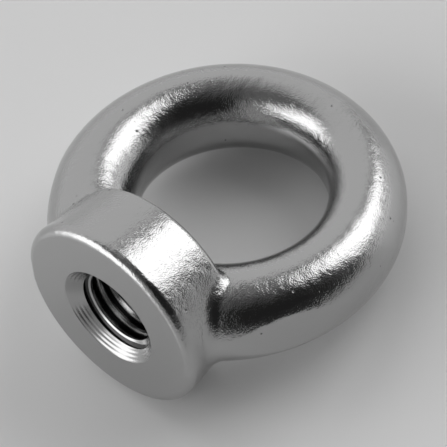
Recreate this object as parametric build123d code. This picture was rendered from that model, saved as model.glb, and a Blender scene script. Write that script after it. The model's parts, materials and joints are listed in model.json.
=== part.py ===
"""Lifting eye nut, M16: one steel forging, laid on its side as it comes to rest.

The nut is drawn upright first. The thread axis is Z and the ring's axis is Y, and both
pass through the centre of the ring's outer outline. The base face is at the bottom and
the crown at the top. lay_down() turns it onto its side, with the floor at z = 0.
"""
import os
from math import cos, degrees, radians, sin, sqrt, tan

from build123d import *

# Thread, mm. Its turns are too fine for the solid, so the bore is the tapping hole.
thread_diameter = 16.0
thread_pitch = 2.0
countersink_diameter = 19.3

# Collar, from the faced base up to the shoulder in the eye
collar_diameter = 36.9
collar_height = 13.5
collar_draft = 5.3
base_face_diameter = 34.4
rim_height = 0.8
shoulder_round = 1.0

# Ring as forged: thinner at the crown, thicker and deeper towards the collar
centre_height = 30.4
ring_diameter = 62.0
eye_diameter = 32.6
eye_shift = 1.6
ring_depth = 16.4
depth_growth = 0.1

# Flat lands that the trimming die and the eye punch leave along the parting line
trim_diameter = 61.9
arm_flat_reach = 30.0
arm_flat_angle = 119.0
punch_diameter = 33.1
collar_trim = 0.15
trim_corner = 4.0

# Blend where the arms run into the collar
blend_radius = 1.6

section_step = 30.0


def ring_section(angle):
    """Centre radius and half widths of the oval section at this angle from the crown."""
    side = radians(angle)
    eye_radius = eye_diameter / 2
    inner = eye_shift * cos(side) + sqrt(eye_radius**2 - (eye_shift * sin(side)) ** 2)
    outer = ring_diameter / 2
    half_depth = ring_depth / 2 - depth_growth * cos(side)
    return (outer + inner) / 2, (outer - inner) / 2, half_depth


def section_face(angle):
    """The oval across the ring: one arc from each die, meeting at the parting line."""
    side = radians(angle)
    radius, half_width, half_depth = ring_section(angle)
    outward = Vector(sin(side), 0, cos(side))
    along = Vector(cos(side), 0, -sin(side))
    across = Plane(origin=outward * radius, x_dir=outward, z_dir=along)
    arcs = [
        EllipticalCenterArc((0, 0), half_width, half_depth, start_angle=start, arc_size=180)
        for start in (0, 180)
    ]
    return across * make_face(arcs)


def forged_ring():
    """One arm lofted from crown to foot, a step past each end, cut square and mirrored."""
    sweep_angle = 180 + 2 * section_step
    steps = round(sweep_angle / section_step)
    angles = [sweep_angle * step / steps - section_step for step in range(steps + 1)]
    reach = 2 * ring_diameter
    arm = loft([section_face(angle) for angle in angles])
    arm = arm & Box(reach, reach, reach, align=(Align.MIN, Align.CENTER, Align.CENTER))
    ring = arm + mirror(arm, about=Plane.YZ)
    above_rim = Box(reach, reach, reach, align=(Align.CENTER, Align.CENTER, Align.MIN))
    return ring & (Pos(0, 0, rim_height - centre_height) * above_rim)


def collar():
    """A drafted boss with a faced base, a chamfered rim and a rounded shoulder."""
    rim_radius = collar_diameter / 2
    top_radius = rim_radius - (collar_height - rim_height) * tan(radians(collar_draft))
    outline = Polyline(
        (0, -centre_height),
        (base_face_diameter / 2, -centre_height),
        (rim_radius, rim_height - centre_height),
        (top_radius, collar_height - centre_height),
        (0, collar_height - centre_height),
        close=True,
    )
    profile = Plane.XZ * make_face(outline)
    shoulder = profile.vertices().sort_by(Axis.Z)[-2:].sort_by(Axis.X)[-1]
    return revolve(fillet(shoulder, shoulder_round), Axis.Z)


def trimming_die():
    """What the outer die leaves: the ring's disc, flatter where the arms near the collar,
    and the collar's sides, with the corners between them rounded."""
    rim_radius = collar_diameter / 2 - collar_trim
    slope = tan(radians(collar_draft))
    foot = -centre_height - rim_height
    low = rim_radius + 2 * rim_height * slope
    high = rim_radius - (centre_height - rim_height) * slope
    sides = make_face(Polyline((-low, foot), (low, foot), (high, 0), (-high, 0), close=True))
    outline = Circle(trim_diameter / 2)
    for turn in (90 - arm_flat_angle, 90 + arm_flat_angle):
        waste = Rectangle(ring_diameter, ring_diameter, align=(Align.MIN, Align.CENTER))
        outline = outline - Rot(0, 0, turn) * Pos(arm_flat_reach, 0, 0) * waste
    outline = outline + sides
    corners = [
        corner
        for corner in outline.vertices()
        if foot + rim_height < corner.Y < -trim_diameter / 4
    ]
    outline = fillet(corners, trim_corner)
    return extrude(Plane.XZ * outline, amount=collar_diameter, both=True)


def eye_punch():
    """The round punch that clears the eye, a little larger than the forged eye."""
    return Pos(0, 0, eye_shift) * Rot(90, 0, 0) * Cylinder(punch_diameter / 2, 2 * ring_depth)


def threaded_hole():
    """Tapping hole through into the eye, countersunk square at the base face."""
    bore_radius = (thread_diameter - thread_pitch) / 2
    mouth_radius = countersink_diameter / 2
    upwards = (Align.CENTER, Align.CENTER, Align.MIN)
    bore = Cylinder(bore_radius, centre_height, align=upwards)
    countersink = Cone(mouth_radius, bore_radius, mouth_radius - bore_radius, align=upwards)
    return Pos(0, 0, -centre_height) * (bore + countersink)


def upright_nut():
    """Ring and collar forged as one, blended, trimmed, punched and drilled."""
    boss = collar()
    ring = forged_ring()
    body = boss + ring
    body = fillet(new_edges(boss, ring, combined=body), blend_radius)
    body = body & trimming_die()
    return body - eye_punch() - threaded_hole()


def lying_tilt():
    """Angle at which the shoulder and the crown touch the floor together."""
    slope = radians(collar_draft)
    shoulder_height = collar_height - centre_height - shoulder_round
    side_radius = collar_diameter / 2 - (collar_height - rim_height - shoulder_round) * tan(slope)
    round_centre = side_radius - shoulder_round / cos(slope)
    radius, half_width, half_depth = ring_section(0)
    low, high = 0.0, 45.0
    for _ in range(50):
        tilt = radians((low + high) / 2)
        shoulder = round_centre * cos(tilt) + shoulder_height * sin(tilt) + shoulder_round
        crown = radius * sin(tilt) + sqrt((half_width * sin(tilt)) ** 2 + (half_depth * cos(tilt)) ** 2)
        if shoulder > crown:
            low = degrees(tilt)
        else:
            high = degrees(tilt)
    return low


def lay_down(nut):
    """Onto its side, crown forward, with the floor under the middle of the nut."""
    nut = Rot(-90 - lying_tilt(), 0, 0) * nut
    box = nut.bounding_box()
    return Pos(0, -box.center().Y, -box.min.Z) * nut


eye_nut = lay_down(upright_nut())

os.makedirs("parts", exist_ok=True)
export_step(eye_nut, "parts/eye_nut.step")
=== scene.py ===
"""Lifting eye nut, M16: drop-forged steel with a bright zinc plating, lying as it rests."""
import json
from math import asin, cos, pi, radians, sin, tan

import bmesh
import bpy
import numpy as np
from mathutils import Matrix, Vector


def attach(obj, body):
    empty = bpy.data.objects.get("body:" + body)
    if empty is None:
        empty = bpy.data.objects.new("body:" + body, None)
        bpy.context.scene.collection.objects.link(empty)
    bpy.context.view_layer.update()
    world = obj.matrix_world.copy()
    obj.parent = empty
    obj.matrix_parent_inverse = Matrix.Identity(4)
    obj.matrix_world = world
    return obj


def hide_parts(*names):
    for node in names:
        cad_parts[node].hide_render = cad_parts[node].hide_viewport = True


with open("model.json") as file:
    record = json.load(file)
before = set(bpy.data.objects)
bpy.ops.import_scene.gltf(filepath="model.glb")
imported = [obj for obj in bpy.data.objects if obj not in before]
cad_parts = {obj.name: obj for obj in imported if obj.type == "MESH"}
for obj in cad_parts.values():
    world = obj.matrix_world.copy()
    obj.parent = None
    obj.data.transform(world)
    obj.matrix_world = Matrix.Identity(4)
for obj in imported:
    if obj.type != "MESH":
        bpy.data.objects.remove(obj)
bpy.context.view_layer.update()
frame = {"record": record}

MM = 0.001

# Named sizes of the nut, mm. All but the thread's depth and the blend are the solid's own. The
# nut is drawn upright: ring centre at the origin, thread axis along Z, ring axis along Y, base
# below.
THREAD_DIAMETER = 16.0
THREAD_PITCH = 2.0
THREAD_DEPTH = 0.5413 * THREAD_PITCH  # five eighths of a sharp 60 degree V
COUNTERSINK_DIAMETER = 19.3
COLLAR_DIAMETER = 36.9
COLLAR_HEIGHT = 13.5
COLLAR_DRAFT = radians(5.3)
RIM_HEIGHT = 0.8
SHOULDER_ROUND = 1.0
CENTRE_HEIGHT = 30.4
RING_DIAMETER = 62.0
EYE_DIAMETER = 32.6
EYE_SHIFT = 1.6
RING_DEPTH = 16.4
DEPTH_GROWTH = 0.1
TRIM_DIAMETER = 61.9
ARM_FLAT_REACH = 30.0
ARM_FLAT_ANGLE = radians(119)
PUNCH_DIAMETER = 33.1
COLLAR_TRIM = 0.15
TRIM_CORNER = 4.0
BLEND_RADIUS = 1.3

# Edge rounds that forging, trimming and turning leave, mm. The base is faced a little way
# into the rim's round.
FLAT_ROUND = 1.0
TRIM_ROUND = 0.15
PUNCH_ROUND = 0.18
RIM_ROUND = 1.8
FACED_OFF = 0.063
# Rings that the countersink's edge cuts near the mouth: how high, how far apart, how far in, mm
RIPPLE_HEIGHT = 0.012
RIPPLE_SPACING = 0.5
RIPPLE_REACH = 1.5
# How far down from its crest a thread flank keeps the bright finish, mm; deeper down the flank takes the dark
# painted shade
CREST_BEFORE_SHADE = 0.34

# Where the cutters start, below the base, and how far up they run, into the eye: mm, and turns
CLEAR_BELOW = 3.0
HOLE_LENGTH = 19.0
GROOVE_START = -1.5
GROOVE_TURNS = 11.0

# Where ring and collar join, how far to each side slivers are merged, and how short they are, mm
JOINT_REACH = 0.6
SLIVER = 0.12


# ---------------------------------------------------------------- small helpers

def add_node(tree, kind, inputs=None, **settings):
    """One node of this kind, with its settings, and its inputs set or linked by name or place."""
    node = tree.nodes.new(kind)
    for name, value in settings.items():
        setattr(node, name, value)
    for key, value in (inputs or {}).items():
        if isinstance(value, bpy.types.NodeSocket):
            tree.links.new(value, node.inputs[key])
        else:
            node.inputs[key].default_value = value
    return node


def linear(hex_colour):
    """An sRGB hex colour as linear RGBA."""
    channels = [int(hex_colour[i:i + 2], 16) / 255 for i in (1, 3, 5)]
    return [c / 12.92 if c <= 0.04045 else ((c + 0.055) / 1.055) ** 2.4 for c in channels] + [1.0]


def new_object(name, mesh):
    obj = bpy.data.objects.new(name, mesh)
    bpy.context.scene.collection.objects.link(obj)
    return obj


def plain_mesh(obj, name):
    """What the object's modifiers make, as a mesh of its own. The object goes."""
    graph = bpy.context.evaluated_depsgraph_get()
    mesh = bpy.data.meshes.new_from_object(obj.evaluated_get(graph))
    mesh.name = name
    bpy.data.objects.remove(obj)
    return mesh


def grown(name, tree, sizes):
    """The plain mesh that a Geometry Nodes tree makes from these sizes."""
    holder = new_object(name, bpy.data.meshes.new(name))
    growth = holder.modifiers.new(name, "NODES")
    growth.node_group = tree
    for item in tree.interface.items_tree:
        if item.in_out == "INPUT":
            growth[item.identifier] = sizes[item.name]
    return plain_mesh(holder, name)


def named_tree(name, sizes):
    """An empty Geometry Nodes tree with a named input for each size, and its input sockets."""
    tree = bpy.data.node_groups.new(name, "GeometryNodeTree")
    for label, value in sizes.items():
        kind = "NodeSocketInt" if isinstance(value, int) else "NodeSocketFloat"
        socket = tree.interface.new_socket(label, in_out="INPUT", socket_type=kind)
        socket.default_value = value
    tree.interface.new_socket("Geometry", in_out="OUTPUT", socket_type="NodeSocketGeometry")
    return tree, add_node(tree, "NodeGroupInput").outputs


def end_tree(tree, geometry, material):
    """Every tree ends the same way: instances made real, and the finish set."""
    real = add_node(tree, "GeometryNodeRealizeInstances", {0: geometry})
    finished = add_node(tree, "GeometryNodeSetMaterial", {"Geometry": real.outputs[0], "Material": material})
    add_node(tree, "NodeGroupOutput", {0: finished.outputs[0]})


def cleaned(mesh, close=1e-4):
    """Doubles merged and faces turned outwards."""
    shape = bmesh.new()
    shape.from_mesh(mesh)
    bmesh.ops.remove_doubles(shape, verts=shape.verts, dist=close)
    bmesh.ops.recalc_face_normals(shape, faces=shape.faces)
    shape.to_mesh(mesh)
    shape.free()
    return mesh


def turned_mesh(name, profile, steps, material):
    """A closed solid turned about Z from (radius, height) points that start and end on the axis."""
    turn = np.linspace(0, 2 * pi, steps, endpoint=False)[:, None]
    radius = np.array([point[0] for point in profile])[None, :]
    height = np.array([point[1] for point in profile])[None, :] + 0 * turn
    points = np.stack([radius * np.cos(turn), radius * np.sin(turn), height], 2)
    rows = len(profile)
    faces = []
    for i in range(steps):
        other = (i + 1) % steps
        for j in range(rows - 1):
            faces.append((i * rows + j, other * rows + j, other * rows + j + 1, i * rows + j + 1))
    mesh = bpy.data.meshes.new(name)
    mesh.from_pydata(points.reshape(-1, 3).tolist(), [], faces)
    mesh.materials.append(material)
    return cleaned(mesh)


def combined(name, first, second, operation):
    """A new mesh from two closed ones."""
    tool = new_object("tool", second)
    work = new_object("work", first)
    join = work.modifiers.new("join", "BOOLEAN")
    join.operation = operation
    join.solver = "EXACT"
    join.material_mode = "TRANSFER"
    join.object = tool
    mesh = plain_mesh(work, name)
    bpy.data.objects.remove(tool)
    return mesh


# ---------------------------------------------------------------- the forging's surface as a field

def round_union(a, b, radius):
    """Distance to two forms joined with a fillet."""
    return np.maximum(radius, np.minimum(a, b)) - np.hypot(
        np.maximum(radius - a, 0), np.maximum(radius - b, 0))


def round_cut(a, b, radius):
    """Distance to what two forms share, its edge rounded."""
    return np.minimum(-radius, np.maximum(a, b)) + np.hypot(
        np.maximum(a + radius, 0), np.maximum(b + radius, 0))


def eye_reach(turn, radius):
    """How far the eye's circle, which sits towards the crown, is from the ring's centre."""
    return EYE_SHIFT * np.cos(turn) + np.sqrt(radius**2 - (EYE_SHIFT * np.sin(turn)) ** 2)


def ring_field(p):
    """Distance to the ring, close to its surface: an oval section carried round the eye."""
    x, y, z = p.T
    reach = np.hypot(x, z) + 1e-9
    turn = np.arctan2(x, z)
    inner = eye_reach(turn, EYE_DIAMETER / 2)
    centre, width = (RING_DIAMETER / 2 + inner) / 2, (RING_DIAMETER / 2 - inner) / 2
    depth = RING_DEPTH / 2 - DEPTH_GROWTH * np.cos(turn)
    u, v = (reach - centre) / width, y / depth
    size = np.hypot(u, v) + 1e-9
    return size * (size - 1) / (np.hypot(u / width, v / depth) + 1e-9)


def collar_side(reach, z, trim=0.0):
    """Distance to the drafted side, for a radius or for half the width between two flats."""
    rim = CENTRE_HEIGHT - RIM_HEIGHT
    return (reach - COLLAR_DIAMETER / 2 + trim + (z + rim) * tan(COLLAR_DRAFT)) * cos(COLLAR_DRAFT)


def collar_field(p):
    """Distance to the collar, which runs on downwards past the base."""
    x, y, z = p.T
    top = z + CENTRE_HEIGHT - COLLAR_HEIGHT
    return round_cut(collar_side(np.hypot(x, y), z), top, SHOULDER_ROUND)


def die_field(p):
    """The outer trimming die: a disc, flatter where the arms near the collar, and the collar's sides."""
    x, y, z = p.T
    disc = np.hypot(x, z) - TRIM_DIAMETER / 2
    flat = np.abs(x) * sin(ARM_FLAT_ANGLE) + z * cos(ARM_FLAT_ANGLE) - ARM_FLAT_REACH
    sides = np.maximum(collar_side(np.abs(x), z, COLLAR_TRIM), z)
    return round_union(round_cut(disc, flat, FLAT_ROUND), sides, TRIM_CORNER)


def punch_field(p):
    """The round punch that clears the eye: negative outside its cylinder."""
    x, y, z = p.T
    return PUNCH_DIAMETER / 2 - np.hypot(x, z - EYE_SHIFT)


def skin_field(p):
    """The forging as it left the dies."""
    field = round_union(ring_field(p), collar_field(p), BLEND_RADIUS)
    field = round_cut(field, die_field(p), TRIM_ROUND)
    return round_cut(field, punch_field(p), PUNCH_ROUND)


def rim_field(p):
    """The forging with its rounded rim, before the base is faced."""
    return round_cut(skin_field(p), -CENTRE_HEIGHT - FACED_OFF - p[:, 2], RIM_ROUND)


def nut_field(p):
    """Signed distance to the whole nut, mm, with its faced base, before the hole."""
    return np.maximum(rim_field(p), -CENTRE_HEIGHT - p[:, 2])


def slope_of(field, p, step=0.01):
    """The field's gradient at each point: its direction is the surface's normal there."""
    slope = np.empty_like(p)
    for axis in range(3):
        shift = np.zeros(3)
        shift[axis] = step
        slope[:, axis] = (field(p + shift) - field(p - shift)) / (2 * step)
    return slope


def settle(p, rounds=6):
    """Points moved onto the surface of the field."""
    for _ in range(rounds):
        slope = slope_of(nut_field, p)
        p = p - slope * (nut_field(p) / np.maximum((slope**2).sum(1), 0.25))[:, None]
    return p


# ---------------------------------------------------------------- finishes

def steel(name, colour, roughness, grain_depth):
    """A steel finish with a fine grain, 0.24 mm a grain: coarser than the real one, so that it shows."""
    material = bpy.data.materials.new(name)
    material.use_nodes = True
    tree = material.node_tree
    tree.nodes.clear()
    place = add_node(tree, "ShaderNodeTexCoord").outputs["Object"]
    grain = add_node(tree, "ShaderNodeTexNoise", {
        "Vector": place, "Scale": 1 / (0.24 * MM), "Detail": 1.0, "Roughness": 0.6})
    fine = add_node(tree, "ShaderNodeBump", {"Height": grain.outputs[0], "Distance": grain_depth * MM})
    shader = add_node(tree, "ShaderNodeBsdfPrincipled", {
        "Base Color": linear(colour), "Metallic": 1.0, "Roughness": roughness, "Normal": fine.outputs[0]})
    add_node(tree, "ShaderNodeOutputMaterial", {"Surface": shader.outputs[0]})
    return material, place, fine, shader


def zinc_plated_forging():
    """Drop-forged steel, shot-blasted, then bright zinc plated. The blasted skin under the thin
    plating breaks each reflection's edge into sharp specks, and the forging's slow swell bends it."""
    material, place, fine, shader = steel("zinc_plated_forged_steel", "#ADADAD", 0.05, 0.046)
    tree = material.node_tree
    swell = add_node(tree, "ShaderNodeTexNoise", {
        "Vector": place, "Scale": 1 / (2.2 * MM), "Detail": 2.0, "Roughness": 0.5})
    wavy = add_node(tree, "ShaderNodeBump", {
        "Height": swell.outputs[0], "Distance": 0.12 * MM, "Normal": fine.outputs[0]})
    # Dark spots up to half a millimetre across, some millimetres apart, each also sunk as a shallow pit.
    nearest = add_node(tree, "ShaderNodeTexVoronoi", {"Vector": place, "Scale": 1 / (3.9 * MM)})
    clear = add_node(tree, "ShaderNodeMapRange", {
        "Value": nearest.outputs["Distance"], "From Min": 0.02, "From Max": 0.065})
    pitted = add_node(tree, "ShaderNodeBump", {
        "Height": clear.outputs[0], "Distance": 0.15 * MM, "Normal": wavy.outputs[0]})
    tone = add_node(tree, "ShaderNodeMix", {
        0: clear.outputs[0], 6: linear("#585858"), 7: linear("#ADADAD")}, data_type="RGBA")
    tree.links.new(tone.outputs[2], shader.inputs["Base Color"])
    tree.links.new(pitted.outputs[0], shader.inputs["Normal"])
    return material


forged = zinc_plated_forging()
# Faced and countersunk on the lathe, then plated: even and satin, with no grain to speak of.
machined = steel("zinc_plated_turned_steel", "#ADADAD", 0.22, 0.005)[0]
# The thread's flanks deep in the hole are coloured dark: this is painted shade, the hole's own shade laid
# into their colour.
painted_thread_shade = steel("tapped_steel_painted_shade", "#404040", 0.25, 0.01)[0]


# ---------------------------------------------------------------- ring, collar, hole and thread

def ring_tree():
    """The ring: an oval section carried round the eye, thinner towards the crown."""
    tree, given = named_tree("forged_ring", {
        "Ring Diameter": 1.0, "Eye Diameter": 1.0, "Eye Shift": 1.0, "Ring Depth": 1.0,
        "Columns": 4, "Rows": 4, "Crowding": 0.0})
    sheet = add_node(tree, "GeometryNodeMeshGrid", {
        "Size X": 2 * pi, "Size Y": 2 * pi, "Vertices X": given["Columns"], "Vertices Y": given["Rows"]})
    flat = add_node(tree, "GeometryNodeInputPosition").outputs[0]
    turn, row = add_node(tree, "ShaderNodeSeparateXYZ", {0: flat}).outputs[0:2]
    # Rows stand closer together at the outer and the inner edge, where the lands are cut.
    twice = add_node(tree, "ShaderNodeMath", {0: row, 1: 2.0}, operation="MULTIPLY").outputs[0]
    swing = add_node(tree, "ShaderNodeMath", {0: twice}, operation="SINE").outputs[0]
    pull = add_node(tree, "ShaderNodeMath", {0: swing, 1: given["Crowding"]}, operation="MULTIPLY").outputs[0]
    around = add_node(tree, "ShaderNodeMath", {0: row, 1: pull}, operation="SUBTRACT").outputs[0]
    sine = add_node(tree, "ShaderNodeMath", {0: turn}, operation="SINE").outputs[0]
    cosine = add_node(tree, "ShaderNodeMath", {0: turn}, operation="COSINE").outputs[0]
    # The eye's circle sits towards the crown by the shift.
    ring, opening, shift = given["Ring Diameter"], given["Eye Diameter"], given["Eye Shift"]
    outer = add_node(tree, "ShaderNodeMath", {0: ring, 1: 0.5}, operation="MULTIPLY").outputs[0]
    eye = add_node(tree, "ShaderNodeMath", {0: opening, 1: 0.5}, operation="MULTIPLY").outputs[0]
    aside = add_node(tree, "ShaderNodeMath", {0: shift, 1: sine}, operation="MULTIPLY").outputs[0]
    aside_squared = add_node(tree, "ShaderNodeMath", {0: aside, 1: aside}, operation="MULTIPLY").outputs[0]
    eye_squared = add_node(tree, "ShaderNodeMath", {0: eye, 1: eye}, operation="MULTIPLY").outputs[0]
    left = add_node(tree, "ShaderNodeMath", {0: eye_squared, 1: aside_squared}, operation="SUBTRACT")
    chord = add_node(tree, "ShaderNodeMath", {0: left.outputs[0]}, operation="SQRT").outputs[0]
    inner = add_node(tree, "ShaderNodeMath", {0: shift, 1: cosine, 2: chord}, operation="MULTIPLY_ADD")
    inner = inner.outputs[0]
    # Centre and half width of the section, then the point on its oval.
    total = add_node(tree, "ShaderNodeMath", {0: outer, 1: inner}, operation="ADD").outputs[0]
    gap = add_node(tree, "ShaderNodeMath", {0: outer, 1: inner}, operation="SUBTRACT").outputs[0]
    centre = add_node(tree, "ShaderNodeMath", {0: total, 1: 0.5}, operation="MULTIPLY").outputs[0]
    width = add_node(tree, "ShaderNodeMath", {0: gap, 1: 0.5}, operation="MULTIPLY").outputs[0]
    out_in = add_node(tree, "ShaderNodeMath", {0: around}, operation="COSINE").outputs[0]
    up_down = add_node(tree, "ShaderNodeMath", {0: around}, operation="SINE").outputs[0]
    reach = add_node(tree, "ShaderNodeMath", {0: width, 1: out_in, 2: centre}, operation="MULTIPLY_ADD")
    reach = reach.outputs[0]
    half = add_node(tree, "ShaderNodeMath", {0: given["Ring Depth"], 1: 0.5}, operation="MULTIPLY").outputs[0]
    x = add_node(tree, "ShaderNodeMath", {0: reach, 1: sine}, operation="MULTIPLY").outputs[0]
    y = add_node(tree, "ShaderNodeMath", {0: half, 1: up_down}, operation="MULTIPLY").outputs[0]
    z = add_node(tree, "ShaderNodeMath", {0: reach, 1: cosine}, operation="MULTIPLY").outputs[0]
    point = add_node(tree, "ShaderNodeCombineXYZ", {0: x, 1: y, 2: z})
    bent = add_node(tree, "GeometryNodeSetPosition", {
        "Geometry": sheet.outputs[0], "Position": point.outputs[0]})
    closed = add_node(tree, "GeometryNodeMergeByDistance", {"Geometry": bent.outputs[0], "Distance": 0.001})
    end_tree(tree, closed.outputs[0], forged)
    return tree


def thread_tree():
    """The groove that the tap cuts: a V with a narrow root, carried along a right-hand spiral."""
    tree, given = named_tree("tapped_groove", {
        "Major Diameter": 1.0, "Pitch": 1.0, "Depth": 1.0, "Turns": 1.0, "Steps": 4})
    major, pitch, turns = given["Major Diameter"], given["Pitch"], given["Turns"]
    radius = add_node(tree, "ShaderNodeMath", {0: major, 1: 0.5}, operation="MULTIPLY").outputs[0]
    rise = add_node(tree, "ShaderNodeMath", {0: pitch, 1: turns}, operation="MULTIPLY").outputs[0]
    spiral = add_node(tree, "GeometryNodeCurveSpiral", {
        "Resolution": given["Steps"], "Rotations": turns, "Start Radius": radius,
        "End Radius": radius, "Height": rise, "Reverse": True})
    level = add_node(tree, "GeometryNodeSetCurveNormal", {"Curve": spiral.outputs[0]}, mode="Z_UP")
    # An eighth of the pitch wide at the root, three quarters at the bore's wall. It reaches a
    # little past that wall towards the axis, so that the cut is clean.
    back = add_node(tree, "ShaderNodeMath", {0: given["Depth"], 1: 1.15}, operation="MULTIPLY").outputs[0]
    inwards = add_node(tree, "ShaderNodeMath", {0: back, 1: -1.0}, operation="MULTIPLY").outputs[0]
    root = add_node(tree, "ShaderNodeMath", {0: pitch, 1: 1 / 16}, operation="MULTIPLY").outputs[0]
    mouth = add_node(tree, "ShaderNodeMath", {0: back, 1: tan(radians(30)), 2: root},
                     operation="MULTIPLY_ADD").outputs[0]
    low_root = add_node(tree, "ShaderNodeMath", {0: root, 1: -1.0}, operation="MULTIPLY").outputs[0]
    low_mouth = add_node(tree, "ShaderNodeMath", {0: mouth, 1: -1.0}, operation="MULTIPLY").outputs[0]
    corners = [
        add_node(tree, "ShaderNodeCombineXYZ", {0: aside, 1: along}).outputs[0]
        for aside, along in ((0.0, root), (inwards, mouth), (inwards, low_mouth), (0.0, low_root))
    ]
    profile = add_node(tree, "GeometryNodeCurvePrimitiveQuadrilateral", mode="POINTS")
    for socket, corner in zip([s for s in profile.inputs if s.name.startswith("Point")], corners):
        tree.links.new(corner, socket)
    ribbed = add_node(tree, "GeometryNodeSubdivideCurve", {"Curve": profile.outputs[0], "Cuts": 4})
    sweep = add_node(tree, "GeometryNodeCurveToMesh", {
        "Curve": level.outputs[0], "Profile Curve": ribbed.outputs[0], "Fill Caps": True})
    # The groove's faces take the dark colour that paints the shade deep in the hole.
    end_tree(tree, sweep.outputs[0], painted_thread_shade)
    return tree


def ring_mesh():
    """The ring, with what would stand below the base cut off."""
    mesh = grown("ring", ring_tree(), {
        "Ring Diameter": RING_DIAMETER, "Eye Diameter": EYE_DIAMETER, "Eye Shift": EYE_SHIFT,
        "Ring Depth": RING_DEPTH, "Columns": 385, "Rows": 113, "Crowding": 0.34})
    shape = bmesh.new()
    shape.from_mesh(mesh)
    everything = list(shape.verts) + list(shape.edges) + list(shape.faces)
    cut = bmesh.ops.bisect_plane(shape, geom=everything, plane_co=(0, 0, RIM_HEIGHT - CENTRE_HEIGHT),
                                 plane_no=(0, 0, -1), clear_outer=True)
    rim = [item for item in cut["geom_cut"] if isinstance(item, bmesh.types.BMEdge)]
    bmesh.ops.contextual_create(shape, geom=rim)
    shape.to_mesh(mesh)
    shape.free()
    return cleaned(mesh)


def collar_mesh():
    """The collar turned from its profile."""
    low, slope = -CENTRE_HEIGHT, tan(COLLAR_DRAFT)
    middle = RIM_ROUND - FACED_OFF
    inside = COLLAR_DIAMETER / 2 - (middle - RIM_HEIGHT) * slope - RIM_ROUND / cos(COLLAR_DRAFT)
    # The base face in a few rings, the rim's round, the drafted side, and the top in rings that
    # stand closer together towards its edge, where the shoulder is rounded.
    profile = [(radius, low) for radius in (0.0, 8.0, 12.0, 14.5, 16.0, 16.7)]
    for turn in np.linspace(asin(middle / RIM_ROUND), -COLLAR_DRAFT, 13):
        profile.append((inside + RIM_ROUND * cos(turn), low + middle - RIM_ROUND * sin(turn)))
    start, height = profile[-1][0], profile[-1][1] - low
    side = np.linspace(0, COLLAR_HEIGHT - height, 33)[1:]
    profile += [(start - rise * slope, low + height + rise) for rise in side]
    top = profile[-1][0]
    shares = (0.97, 0.94, 0.9, 0.85, 0.79, 0.7, 0.55, 0.3, 0.0)
    profile += [(top * share, low + COLLAR_HEIGHT) for share in shares]
    return turned_mesh("collar", profile, 288, forged)


def hole_mesh():
    """Countersink and tapping hole as one turned cutter, with the rings that the tool leaves."""
    mouth = COUNTERSINK_DIAMETER / 2
    bore = THREAD_DIAMETER / 2 - THREAD_DEPTH
    low = -CENTRE_HEIGHT
    profile = [(0.0, low - CLEAR_BELOW), (mouth + CLEAR_BELOW, low - CLEAR_BELOW)]
    for sunk in np.arange(0, mouth - bore, 0.1):
        wave = RIPPLE_HEIGHT * sin(2 * pi * sunk / RIPPLE_SPACING)
        ripple = wave if sunk < RIPPLE_REACH else 0.0
        profile.append((mouth - sunk + ripple, low + sunk + ripple))
    profile.append((bore, low + mouth - bore))
    profile += [(bore, low + HOLE_LENGTH), (0.0, low + HOLE_LENGTH)]
    return turned_mesh("hole", profile, 192, machined)


def evened_seam(mesh):
    """Slivers along the joint merged, and the skin near it evened out and set on the field."""
    shape = bmesh.new()
    shape.from_mesh(mesh)
    start = np.array([v.co[:] for v in shape.verts])
    joint = np.maximum(np.abs(ring_field(start)), np.abs(collar_field(start))) < JOINT_REACH
    slivers = [vert for vert, near in zip(shape.verts, joint) if near]
    bmesh.ops.remove_doubles(shape, verts=slivers, dist=SLIVER)
    bmesh.ops.dissolve_degenerate(shape, edges=shape.edges, dist=0.01)
    bmesh.ops.triangulate(shape, faces=[face for face in shape.faces if len(face.verts) > 4])
    shape.verts.ensure_lookup_table()
    shape.verts.index_update()
    place = settle(np.array([v.co[:] for v in shape.verts]))
    # Only the points on the blend slide; the rest already stand in even rows.
    ring, collar = ring_field(place), collar_field(place)
    near = np.abs(np.minimum(ring, collar) - round_union(ring, collar, BLEND_RADIUS)) > 0.01
    near &= place[:, 2] > RIM_HEIGHT - CENTRE_HEIGHT + 0.3
    pairs = np.array([[e.verts[0].index, e.verts[1].index] for e in shape.edges])
    for _ in range(8):
        total, count = np.zeros_like(place), np.zeros(len(place))
        for a, b in ((0, 1), (1, 0)):
            np.add.at(total, pairs[:, a], place[pairs[:, b]])
            np.add.at(count, pairs[:, a], 1)
        place[near] += 0.5 * (total / count[:, None] - place)[near]
        place[near] = settle(place[near], 2)
    for vert, point in zip(shape.verts, place):
        vert.co = point
    shape.to_mesh(mesh)
    shape.free()
    return cleaned(mesh)


def smooth_shaded(mesh):
    """Smooth shading: the skin takes the field's own normals, and the hole keeps its edges."""
    place = np.array([v.co[:] for v in mesh.vertices])
    skin = np.abs(nut_field(place)) < 0.004
    normals = slope_of(rim_field, place)
    normals /= np.linalg.norm(normals, axis=1)[:, None]
    for polygon in mesh.polygons:
        polygon.use_smooth = True
    mesh.set_sharp_from_angle(angle=radians(32))
    loops = np.zeros((len(mesh.loops), 3))
    bright, dark = mesh.materials.find(machined.name), mesh.materials.find(painted_thread_shade.name)
    reach = np.hypot(place[:, 0], place[:, 1])
    crest = THREAD_DIAMETER / 2 - THREAD_DEPTH + CREST_BEFORE_SHADE
    on_base = place[:, 2] < 0.01 - CENTRE_HEIGHT
    for polygon in mesh.polygons:
        corners = list(polygon.vertices)
        facing = np.array(polygon.normal[:])
        if on_base[corners].all():
            loops[list(polygon.loop_indices)] = facing
            polygon.material_index = bright
        elif skin[corners].all() and (normals[corners].mean(0) @ facing) > 0.6:
            for loop, corner in zip(polygon.loop_indices, corners):
                own = normals[corner]
                loops[loop] = own if own @ facing > 0.5 else 0.0
        # Faces near the crest keep the bright finish; the deeper flank faces keep the dark colour of painted
        # shade.
        if polygon.material_index == dark and reach[corners].mean() < crest:
            polygon.material_index = bright
    mesh.normals_split_custom_set(loops.tolist())
    return mesh


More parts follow.
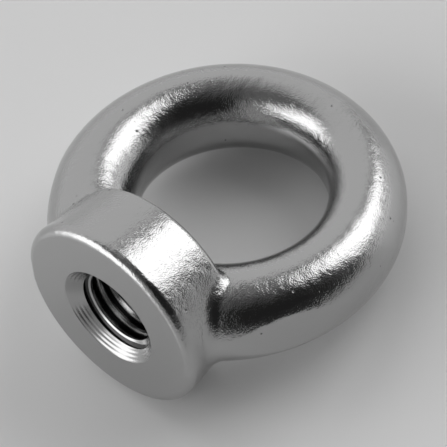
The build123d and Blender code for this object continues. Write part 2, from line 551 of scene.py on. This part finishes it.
body = combined("body", ring_mesh(), collar_mesh(), "UNION")
body = evened_seam(body)
body = combined("body", body, hole_mesh(), "DIFFERENCE")
groove = grown("groove", thread_tree(), {
    "Major Diameter": THREAD_DIAMETER, "Pitch": THREAD_PITCH, "Depth": THREAD_DEPTH,
    "Turns": GROOVE_TURNS, "Steps": 72})
groove.transform(Matrix.Translation((0, 0, GROOVE_START - CENTRE_HEIGHT)))
body = combined("forged_eye_nut", body, cleaned(groove), "DIFFERENCE")
body = smooth_shaded(body)

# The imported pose, from the thread's and the base face's own mounts.
mounts = {mount["name"]: mount for mount in frame["record"]["mounts"]}
mouth_axis = Vector(mounts["thread"]["axis"]).normalized()
to_base = Vector(mounts["base_face"]["pos_m"]) - Vector(mounts["thread"]["pos_m"])
base_centre = Vector(mounts["thread"]["pos_m"]) + mouth_axis * to_base.dot(mouth_axis)
across, upwards = Vector((-1, 0, 0)), -mouth_axis
lying = Matrix((across, upwards.cross(across), upwards)).transposed().to_4x4()
lying.translation = base_centre + upwards * (CENTRE_HEIGHT * MM)
body.transform(lying @ Matrix.Scale(MM, 4))

nut = new_object("forged_eye_nut", body)
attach(nut, "root")
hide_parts("eye_nut")


# ---------------------------------------------------------------- stage, light and camera

def soft_band(tree, angle, middle, half_width, edge):
    """1 within half_width of the middle angle, degrees, falling softly to 0 over the edge."""
    away = add_node(tree, "ShaderNodeMath", {0: angle, 1: middle}, operation="SUBTRACT").outputs[0]
    wrapped = add_node(tree, "ShaderNodeMath", {0: away, 1: 180.0, 2: -180.0}, operation="WRAP").outputs[0]
    distance = add_node(tree, "ShaderNodeMath", {0: wrapped}, operation="ABSOLUTE").outputs[0]
    return add_node(tree, "ShaderNodeMapRange", {
        "Value": distance, "From Min": half_width - edge / 2, "From Max": half_width + edge / 2,
        "To Min": 1.0, "To Max": 0.0}, interpolation_type="SMOOTHSTEP").outputs[0]


def studio_world():
    """A soft studio: pale walls to the left, a darker room to the right and behind the camera."""
    world = bpy.data.worlds.new("studio")
    bpy.context.scene.world = world
    world.use_nodes = True
    tree = world.node_tree
    tree.nodes.clear()
    ray = add_node(tree, "ShaderNodeTexCoord").outputs["Generated"]
    part = add_node(tree, "ShaderNodeSeparateXYZ", {0: ray}).outputs
    azimuth = add_node(tree, "ShaderNodeMath", {0: part[0], 1: part[1]}, operation="ARCTAN2").outputs[0]
    azimuth = add_node(tree, "ShaderNodeMath", {0: azimuth}, operation="DEGREES").outputs[0]
    height = add_node(tree, "ShaderNodeMath", {0: part[2]}, operation="ARCSINE").outputs[0]
    height = add_node(tree, "ShaderNodeMath", {0: height}, operation="DEGREES").outputs[0]
    level = PALE_WALL
    for middle, half_width, mid_height, half_height, side_edge, top_edge, strength in PATCHES:
        beside = soft_band(tree, azimuth, middle, half_width, side_edge)
        above = soft_band(tree, height, mid_height, half_height, top_edge)
        both = add_node(tree, "ShaderNodeMath", {0: beside, 1: above}, operation="MULTIPLY").outputs[0]
        mixed = add_node(tree, "ShaderNodeMix", {0: both, 2: level, 3: strength}, data_type="FLOAT")
        level = mixed.outputs[0]
    paint = add_node(tree, "ShaderNodeBackground", {"Color": (1, 1, 1, 1), "Strength": level})
    add_node(tree, "ShaderNodeOutputWorld", {"Surface": paint.outputs[0]})


PALE_WALL = 0.80
# Each patch lies over the ones before it: middle azimuth (0 is +Y, 90 is +X), half width,
# middle height, half height, how soft its sides and its top are, all in degrees, and strength.
PATCHES = (
    (0, 190, 90, 24, 30, 30, 0.42),
    (115, 62, 0, 100, 24, 30, 0.36),
    (42, 73, 90, 40, 4, 5, 0.24),
    (-165, 58, 70, 24, 18, 6, 0.2),
    (98, 46, 40, 45, 14, 14, 0.1),
    (106, 40, 36, 24, 14, 12, 0.025),
    (20, 22, 0, 20, 24, 34, 1.25),
    (19, 36, 36, 27, 4, 4, 0.14),
    (18, 25.5, 37, 21.5, 3, 5, 2.6),
    (-148.5, 29, 6, 34, 4, 12, 2.6),
)
studio_world()

floor_mesh = bpy.data.meshes.new("floor")
floor_mesh.from_pydata([(-3, -3, 0), (3, -3, 0), (3, 3, 0), (-3, 3, 0)], [], [(0, 1, 2, 3)])
floor = new_object("floor", floor_mesh)
# A sheet of pale satin paper: a soft shadow, and a faint broad shine.
paper = bpy.data.materials.new("white_paper")
paper.use_nodes = True
paper.node_tree.nodes["Principled BSDF"].inputs["Base Color"].default_value = linear("#E8E8E8")
paper.node_tree.nodes["Principled BSDF"].inputs["Roughness"].default_value = 0.3
floor_mesh.materials.append(paper)

# Seen from above and in front of the base, from half a metre away, through a long lens.
CAMERA_PLACE = Vector((0.24406, -0.15253, 0.43860))
CAMERA_AHEAD = Vector((-0.47336, 0.29524, -0.82992))
CAMERA_RIGHT = Vector((0.75552, 0.62049, -0.21019))
camera_data = bpy.data.cameras.new("camera")
camera = new_object("camera", camera_data)
camera_data.sensor_width = 36.0
camera_data.lens = 241.6
aim = Matrix((CAMERA_RIGHT, CAMERA_RIGHT.cross(CAMERA_AHEAD), -CAMERA_AHEAD)).transposed().to_4x4()
aim.translation = CAMERA_PLACE
camera.matrix_world = aim
bpy.context.scene.camera = camera
bpy.context.scene.view_settings.view_transform = "Standard"
